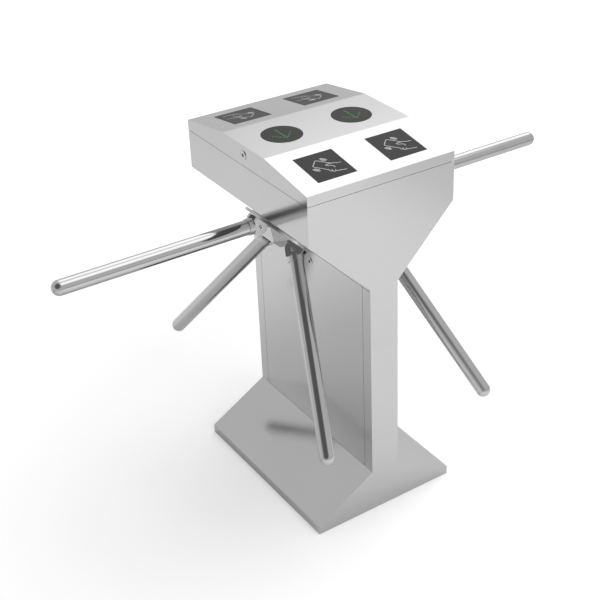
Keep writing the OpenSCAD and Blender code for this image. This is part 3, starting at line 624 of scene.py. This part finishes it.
def display_board_back(side):
    """Chips, capacitors and a plug socket on the underside of a display board."""
    board_depth = 13.6
    place = display_frame(side) @ Matrix.Translation((0, 0, -board_depth)) @ TURNED_OVER
    sunk = -0.2
    bm = bmesh.new()
    add_block(bm, (-7, -7, sunk), (7, 7, 1.5), place, soft=0.2)
    for x, y in ((-26, 14), (-26, -14), (16, 22), (16, -22)):
        add_block(bm, (x, y - 2, sunk), (x + 10, y + 2, 1.6), place, soft=0.2)
    add_block(bm, (28, -9, sunk), (36, 9, 7), place)
    make_piece(f"display_chips_{side}", bm, "lid", BLACK)

    capacitor = [(3.2, sunk), (3.2, 6.4), (2.9, 7), (1, 7)]
    part_count, part_ring, first_angle, angle_step = 9, 40, 150, 15
    bm = bmesh.new()
    for x, y in ((-20, 30), (-8, 36), (6, 38), (-20, -30)):
        add_turned(bm, capacitor, place @ Matrix.Translation((x, y, 0)), steps=24)
    for step in range(part_count):
        spot = round_spot(part_ring, math.radians(first_angle + step * angle_step))
        add_block(bm, spot - Vector((0.8, 0.5, 0.1)), spot + Vector((0.8, 0.5, 0.6)), place, soft=0.1)
    make_piece(f"display_parts_{side}", bm, "lid", ZINC)


def lid_gasket():
    """Foam strip inside the lid's lower edge, open where the lock keeper stands and along the hinge."""
    inside, strip_w, strip_h, lift = 2.1, 3, 6, 1
    keeper_from, keeper_to, hinge_room = -20, 44, 12
    x, y, z = LID_HIGH.x - inside, LID_HIGH.y - inside, LID_LOW.z + lift
    runs = [((-x, -y), (-x + strip_w, keeper_from)), ((-x, keeper_to), (-x + strip_w, y)),
            ((-x + strip_w, -y), (x - hinge_room, -y + strip_w)),
            ((-x + strip_w, y - strip_w), (x - hinge_room, y))]
    bm = bmesh.new()
    for start, end in runs:
        add_block(bm, (*start, z), (*end, z + strip_h), Matrix(), soft=0.8)
    make_piece("lid_gasket", bm, "lid", BLACK)


def housing_screws(side):
    """Socket screws in the bearing flange and the corners of the chassis plate."""
    flange_ring, flange_count, flange_z, flange_screw_r = 33.4, 6, -16, 2.2
    plate_z, plate_screw_r = -10, 5
    spots = [(round_spot(flange_ring, math.tau * (step + 0.5) / flange_count, flange_z), flange_screw_r)
             for step in range(flange_count)]
    spots += [((x, y, plate_z), plate_screw_r) for x in (-64, 64) for y in (-83, 83)]
    bm = bmesh.new()
    for spot, radius in spots:
        screw = [(radius, -0.2), (radius, 0.8 * radius), (0.85 * radius, radius), (0.62 * radius, radius),
                 (0.6 * radius, 0.97 * radius, HEX), (0.6 * radius, 0.4 * radius, HEX)]
        add_turned(bm, screw, hub_frame(side) @ Matrix.Translation(spot) @ TURNED_OVER, steps=24)
    make_piece(f"{side}_chassis_screws", bm, "cabinet", ZINC)


def bearing_seal(side):
    """Rubber shield in the face of the inner bearing."""
    bearing_face = -58
    shield = [(17.6, -0.2), (17.6, 0.2), (19, 0.35), (22, 0.35), (23.4, 0.2), (23.4, -0.2)]
    bm = bmesh.new()
    place = hub_frame(side) @ Matrix.Translation((0, 0, bearing_face)) @ TURNED_OVER
    add_turned(bm, shield, place, steps=48, hollow=True)
    make_piece(f"{side}_bearing_seal", bm, "cabinet", BLACK)


def damper_trim(side):
    """Ribs round the damper body and screws in its end cover."""
    damper_y, cover_z = 60, -58
    root_r, crest_r, root_half, crest_half = 21.9, 22.7, 1.4, 0.8
    place = hub_frame(side) @ Matrix.Translation((0, damper_y, 0))
    bm = bmesh.new()
    for z in (-22, -28, -34, -40):
        rib = [(root_r, z - root_half), (crest_r, z - crest_half),
               (crest_r, z + crest_half), (root_r, z + root_half)]
        add_turned(bm, rib, place, steps=48, hollow=True)
    make_piece(f"{side}_damper_ribs", bm, "cabinet", BLACK)

    screw_count, screw_ring = 4, 18
    screw = [(2.4, -0.2), (2.4, 1.2), (1.9, 1.7), (1.4, 1.7), (1.3, 1.6, HEX), (1.3, 0.7, HEX)]
    bm = bmesh.new()
    for step in range(screw_count):
        spot = round_spot(screw_ring, math.tau * (step + 0.5) / screw_count, cover_z)
        add_turned(bm, screw, place @ Matrix.Translation(spot) @ TURNED_OVER, steps=24)
    make_piece(f"{side}_damper_screws", bm, "cabinet", ZINC)


def solenoid_coil(side):
    """Wound coil round the solenoid, its two tags and the return spring on the plunger."""
    solenoid_x, solenoid_y = 56, -6
    place = hub_frame(side) @ Matrix.Translation((solenoid_x, solenoid_y, 0))
    layer_count, layer_t, coil_end = 14, 2, -56
    half_x, half_y = 15.8, 22.8
    bm = bmesh.new()
    for step in range(layer_count):
        z = coil_end + step * layer_t
        add_block(bm, (-half_x, -half_y, z - layer_t / 2), (half_x, half_y, z + layer_t / 2), place, soft=0.7)
    make_piece(f"{side}_solenoid_winding", bm, "cabinet", WINDING)

    tag_half = 2.4
    spring_r, spring_wire_r, spring_from, spring_l = 6.3, 0.6, -60.7, 16
    turn_count, turn_steps = 6, 14
    step_count = turn_count * turn_steps
    bm = bmesh.new()
    for y in (-8, 8):
        add_block(bm, (15, y - tag_half, -27), (21, y + tag_half, -26.2), place, soft=0.2)
    coil = [round_spot(spring_r, math.tau * step / turn_steps, spring_from - spring_l * step / step_count)
            for step in range(step_count + 1)]
    add_wire(bm, [place @ point for point in coil], spring_wire_r)
    make_piece(f"{side}_plunger_spring", bm, "cabinet", ZINC)


# Electronics in the column

def controller_parts():
    """Terminal strips, capacitors and a row of small parts on the controller board."""
    board_corner = Matrix.Translation((8.6, -30, 65))
    place = board_corner @ Matrix.Rotation(math.pi / 2, 4, "Y") @ Matrix.Rotation(math.pi / 2, 4, "Z")
    strip_x = (-68, 62)
    strip_w, strip_h, strip_from, strip_to = 8, 10, 12, 198
    bm = bmesh.new()
    for x in strip_x:
        add_block(bm, (x, strip_from, -0.2), (x + strip_w, strip_to, strip_h), place, soft=0.6)
    make_piece("terminal_strips", bm, "cabinet", TERMINAL)

    screw_count, screw_pitch = 36, 5.1
    screw = [(1.8, 9.9), (1.8, 10.5), (1.3, 10.7), (0.4, 10.7)]
    capacitor = [(5, -0.2), (5, 11.4), (4.6, 12), (1.5, 12), (1.2, 11.8)]
    bm = bmesh.new()
    for x in strip_x:
        for step in range(screw_count):
            spot = (x + strip_w / 2, strip_from + 4 + step * screw_pitch, 0)
            add_turned(bm, screw, place @ Matrix.Translation(spot), steps=16)
    for x, y in ((-10, 192), (6, 192), (22, 192), (-30, 16)):
        add_turned(bm, capacitor, place @ Matrix.Translation((x, y, 0)), steps=24)
    make_piece("board_metal_parts", bm, "cabinet", ZINC)

    part_count, part_pitch, first_x, part_w = 12, 4, -8, 1.6
    bm = bmesh.new()
    for step in range(part_count):
        x = first_x + step * part_pitch
        add_block(bm, (x, 10, -0.1), (x + part_w, 13, 0.8), place, soft=0.15)
    add_block(bm, (-8, 18, -0.1), (10, 24, 2), place, soft=0.2)
    make_piece("board_small_parts", bm, "cabinet", BLACK)


def supply_case():
    """Vent holes and a terminal strip on the power supply."""
    low, high = (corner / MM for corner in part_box("power_supply"))
    vent = [(3.4, -0.1, HEX), (3.4, 0.1, HEX), (2.6, 0.16)]
    row_count, column_count, vent_pitch, vent_low = 12, 9, 11, 14
    bm = bmesh.new()
    for face, outward in ((low.x, -1), (high.x, 1)):
        for row in range(row_count):
            for column in range(column_count):
                y = low.y + vent_pitch * (column + 1 + (row % 2) / 2)
                spot = Vector((face, y, low.z + vent_low + row * vent_pitch))
                add_turned(bm, vent, facing(spot, (outward, 0, 0), UP), steps=12)
    strip_h, inset_x, inset_y = 9, 6, 8
    add_block(bm, (low.x + inset_x, low.y + inset_y, high.z - 0.2),
              (high.x - inset_x, high.y - inset_y, high.z + strip_h), Matrix(), soft=0.6)
    make_piece("supply_vents", bm, "cabinet", BLACK)

    screw_count, screw_pitch, first_screw = 9, 10, 15
    screw = [(3, 0), (3, 0.9), (2.4, 1.3), (0.6, 1.3)]
    bm = bmesh.new()
    for step in range(screw_count):
        spot = ((low.x + high.x) / 2, low.y + first_screw + step * screw_pitch, high.z + strip_h - 0.2)
        add_turned(bm, screw, Matrix.Translation(spot), steps=20)
    make_piece("supply_screws", bm, "cabinet", ZINC)


# Studio

CAMERA_PLACE = (-1.5401, -2.3920, 2.2088)
CAMERA_TILT, CAMERA_HEADING = 90 - 29.16, -36.66
CAMERA_LENS, SENSOR_W = 75.45, 36
CAMERA_SHIFT = (-0.1603, -0.0693)

# What metal mirrors: the room's level, and panels as (direction, inner angle, outer angle, level)
ROOM_LEVEL = 0.85
PANELS = [((0.30, -0.32, 0.90), 11, 23, 2.1),
          ((0.52, 0.48, 0.71), 9, 32, 2.2),
          ((-0.50, -0.42, 0.76), 26, 49, 0.17)]
FILL_LEVEL = 0.72
ROOM_PAINT = grey(0.8)

# Lamps as (name, place, size, energy), all turned to one point
LAMP_TARGET = Vector((0, 0, 0.4))
SOFTBOXES = [("side_softbox", (1.7, 0.3, 3.4), 3.2, 50),
             ("front_softbox", (0.2, -2.8, 2.2), 2.0, 37)]

# The floor's own light: to the camera by distance from the middle (start, end, low, high), and in mirrors
# by bands along an axis (axis, start, end, low, high)
# The floor's glow is painted light: dimmer near the middle, which paints a darker ring round the base, and in
# mirrors its bands paint lighter and darker reflections on the metal
FLOOR_GLOW = (0.6, 1.8, 0.22, 0.45)
FLOOR_BANDS = [("Y", -0.5, -0.1, 0.17, 0.0), ("Y", 0.45, 1.1, 0.0, 0.28), ("X", 0.9, 1.5, 0.0, -0.2)]
# The floor is painted darker where metal mirrors it: a painted shade that shows only in reflections
FLOOR_PAINT, FLOOR_REFLECTION_SHADE = grey(0.9), grey(0.78)
FLOOR_ROUGHNESS = 0.9
FLOOR_HALF = 30
FLOOR_GAP = 0.5 * MM


def camera():
    """Camera above the front left corner, its picture shifted so that both barrier arms fit."""
    data = bpy.data.cameras.new("camera")
    data.lens = CAMERA_LENS
    data.sensor_width = SENSOR_W
    data.shift_x, data.shift_y = CAMERA_SHIFT
    eye = bpy.data.objects.new("camera", data)
    eye.location = CAMERA_PLACE
    eye.rotation_euler = (math.radians(CAMERA_TILT), 0, math.radians(CAMERA_HEADING))
    bpy.context.scene.collection.objects.link(eye)
    bpy.context.scene.camera = eye


def add_background(tree, level, paint):
    """Background shader of one brightness and colour."""
    node = tree.nodes.new("ShaderNodeBackground")
    feed(tree, node.inputs["Strength"], level)
    feed(tree, node.inputs["Color"], paint)
    return node.outputs[0]


def add_choice(tree, test, otherwise, chosen):
    """One of two shaders, by a light path test."""
    node = tree.nodes.new("ShaderNodeMixShader")
    for socket, value in zip(node.inputs, (test, otherwise, chosen)):
        tree.links.new(value, socket)
    return node.outputs[0]


def studio_world():
    """White to the camera; metal sees a pale room with two bright panels and a dark one."""
    world = bpy.data.worlds.new("studio")
    bpy.context.scene.world = world
    world.use_nodes = True
    tree = world.node_tree
    tree.nodes.clear()
    where = tree.nodes.new("ShaderNodeTexCoord").outputs
    room = ROOM_LEVEL
    for direction, inner, outer, level in PANELS:
        nearness = add_vector_math(tree, "DOT_PRODUCT", where["Generated"], Vector(direction).normalized())
        edge = add_fade(tree, nearness, math.cos(math.radians(outer)), math.cos(math.radians(inner)))
        room = add_mix(tree, "FLOAT", edge, room, level)
    path = tree.nodes.new("ShaderNodeLightPath").outputs
    mirrored = add_background(tree, room, ROOM_PAINT)
    fill = add_background(tree, FILL_LEVEL, ROOM_PAINT)
    white = add_background(tree, 1, grey(1))
    lit = add_choice(tree, path["Is Glossy Ray"], fill, mirrored)
    leave = tree.nodes.new("ShaderNodeOutputWorld")
    tree.links.new(add_choice(tree, path["Is Camera Ray"], lit, white), leave.inputs["Surface"])


def softbox(name, place, size, energy):
    """Large soft lamp that looks at the cabinet; metal doesn't mirror it."""
    data = bpy.data.lights.new(name, "AREA")
    data.shape = "RECTANGLE"
    data.size = size
    data.size_y = size
    data.energy = energy
    lamp = bpy.data.objects.new(name, data)
    lamp.matrix_world = facing(Vector(place), Vector(place) - LAMP_TARGET, UP)
    lamp.visible_camera = False
    lamp.visible_glossy = False
    bpy.context.scene.collection.objects.link(lamp)


def floor_finish():
    """White paint that keeps the shadow, and a little light of its own that keeps it pale; to glossy rays it is
    painted darker, a painted shade in the metal's reflections of the floor.
    """
    material = bpy.data.materials.new("white_floor")
    material.use_nodes = True
    tree = material.node_tree
    shader = tree.nodes["Principled BSDF"]
    shader.inputs["Roughness"].default_value = FLOOR_ROUGHNESS
    shader.inputs["Specular IOR Level"].default_value = 0
    path = tree.nodes.new("ShaderNodeLightPath").outputs
    where = tree.nodes.new("ShaderNodeTexCoord").outputs
    split = tree.nodes.new("ShaderNodeSeparateXYZ")
    tree.links.new(where["Object"], split.inputs[0])
    first, *others = [add_fade(tree, split.outputs[axis], *limits) for axis, *limits in FLOOR_BANDS]
    for band in others:
        first = add_math(tree, "ADD", first, band)
    mirrored = add_math(tree, "MULTIPLY", path["Is Glossy Ray"], add_math(tree, "MAXIMUM", first, 0))
    glow_level = add_fade(tree, add_vector_math(tree, "LENGTH", where["Object"]), *FLOOR_GLOW)
    seen = add_math(tree, "MAXIMUM", path["Is Camera Ray"], path["Is Transmission Ray"])
    glow = tree.nodes.new("ShaderNodeEmission")
    feed(tree, glow.inputs["Strength"], add_math(tree, "MULTIPLY_ADD", seen, glow_level, mirrored))
    # Darker paint for glossy rays only: painted shade in the metal's reflections of the floor
    paint = add_mix(tree, "RGBA", path["Is Glossy Ray"], FLOOR_PAINT, FLOOR_REFLECTION_SHADE)
    tree.links.new(paint, shader.inputs["Base Color"])
    total = tree.nodes.new("ShaderNodeAddShader")
    tree.links.new(shader.outputs[0], total.inputs[0])
    tree.links.new(glow.outputs[0], total.inputs[1])
    tree.links.new(total.outputs[0], tree.nodes["Material Output"].inputs["Surface"])
    return material


def floor():
    """Plain white floor just under the base."""
    mesh = bpy.data.meshes.new("floor")
    corners = [(x * FLOOR_HALF, y * FLOOR_HALF, 0) for x, y in ((-1, -1), (1, -1), (1, 1), (-1, 1))]
    mesh.from_pydata(corners, [], [(0, 1, 2, 3)])
    mesh.materials.append(floor_finish())
    ground = bpy.data.objects.new("floor", mesh)
    ground.location.z = -FLOOR_GAP
    bpy.context.scene.collection.objects.link(ground)


# Everything in its place

finish_the_frame()
for side in ("left", "right"):
    pivot_bolts(side)
    shaft_bolt(side)
    housing_screws(side)
    bearing_seal(side)
    damper_trim(side)
    solenoid_coil(side)
for side in ("right", "left"):
    direction_arrow(side)
    display_board_back(side)
    for end in END_TURN:
        reader_mark(end, side)
        reader_module_back(end, side)
lock_rim("left_door_lock_rim", "left_door", *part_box("left_lock_barrel"), -1)
lock_rim("right_door_lock_rim", "right_door", *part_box("right_lock_barrel"), 1)
lock_rim("lid_lock_rim", "lid", *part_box("lid_lock_barrel"), -1)
lid_gasket()
controller_parts()
supply_case()
camera()
studio_world()
for lamp in SOFTBOXES:
    softbox(*lamp)
floor()
bpy.context.scene.view_settings.view_transform = "Standard"
